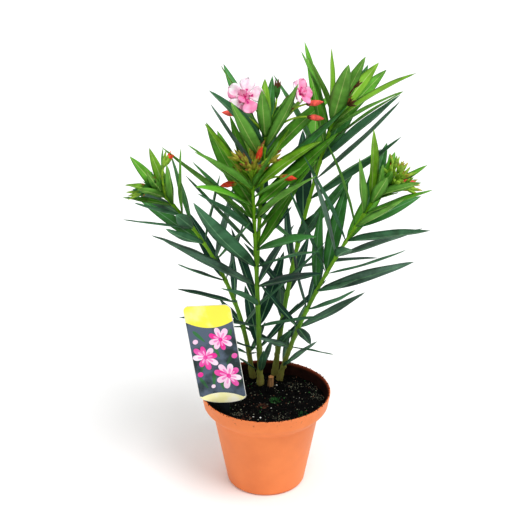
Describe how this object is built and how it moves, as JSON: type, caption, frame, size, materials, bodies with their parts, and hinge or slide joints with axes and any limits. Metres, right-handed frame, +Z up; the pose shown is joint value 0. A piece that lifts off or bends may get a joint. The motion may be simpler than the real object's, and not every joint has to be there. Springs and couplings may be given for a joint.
{
  "type": "potted oleander",
  "caption": "Young oleander with several leafy stems, pink blossom and red buds, in a round nursery pot with a plant label.",
  "frame": {"origin": "middle of the pot's flat underside", "axes": "+Z up; -Y towards the label side, which is the front; +X to the right seen from the front"},
  "size_m": [0.3145, 0.2485, 0.4658],
  "materials": {
    "pot": "matte moulded terracotta-coloured plastic",
    "soil": "damp dark potting compost",
    "label": "printed gloss card-like plastic",
    "bark": "dry cut wood with brown bark",
    "stem": "smooth green bark, yellow-brown at the foot",
    "foliage": "leathery leaves, semi-gloss above and paler below"
  },
  "bodies": {
    "root": {"pot": "pot", "soil": "soil", "label": "label", "cut_stub": "bark", "stem_front": "stem", "bough_top": "stem", "stem_right": "stem", "stem_back": "stem", "stem_left": "stem", "foliage_front_lower": "foliage", "foliage_front_upper": "foliage", "foliage_top": "foliage", "foliage_right_lower": "foliage", "foliage_right_upper": "foliage", "foliage_back_lower": "foliage", "foliage_back_middle": "foliage", "foliage_back_upper": "foliage", "foliage_left_lower": "foliage", "foliage_left_upper": "foliage"}
  },
  "joints": []
}
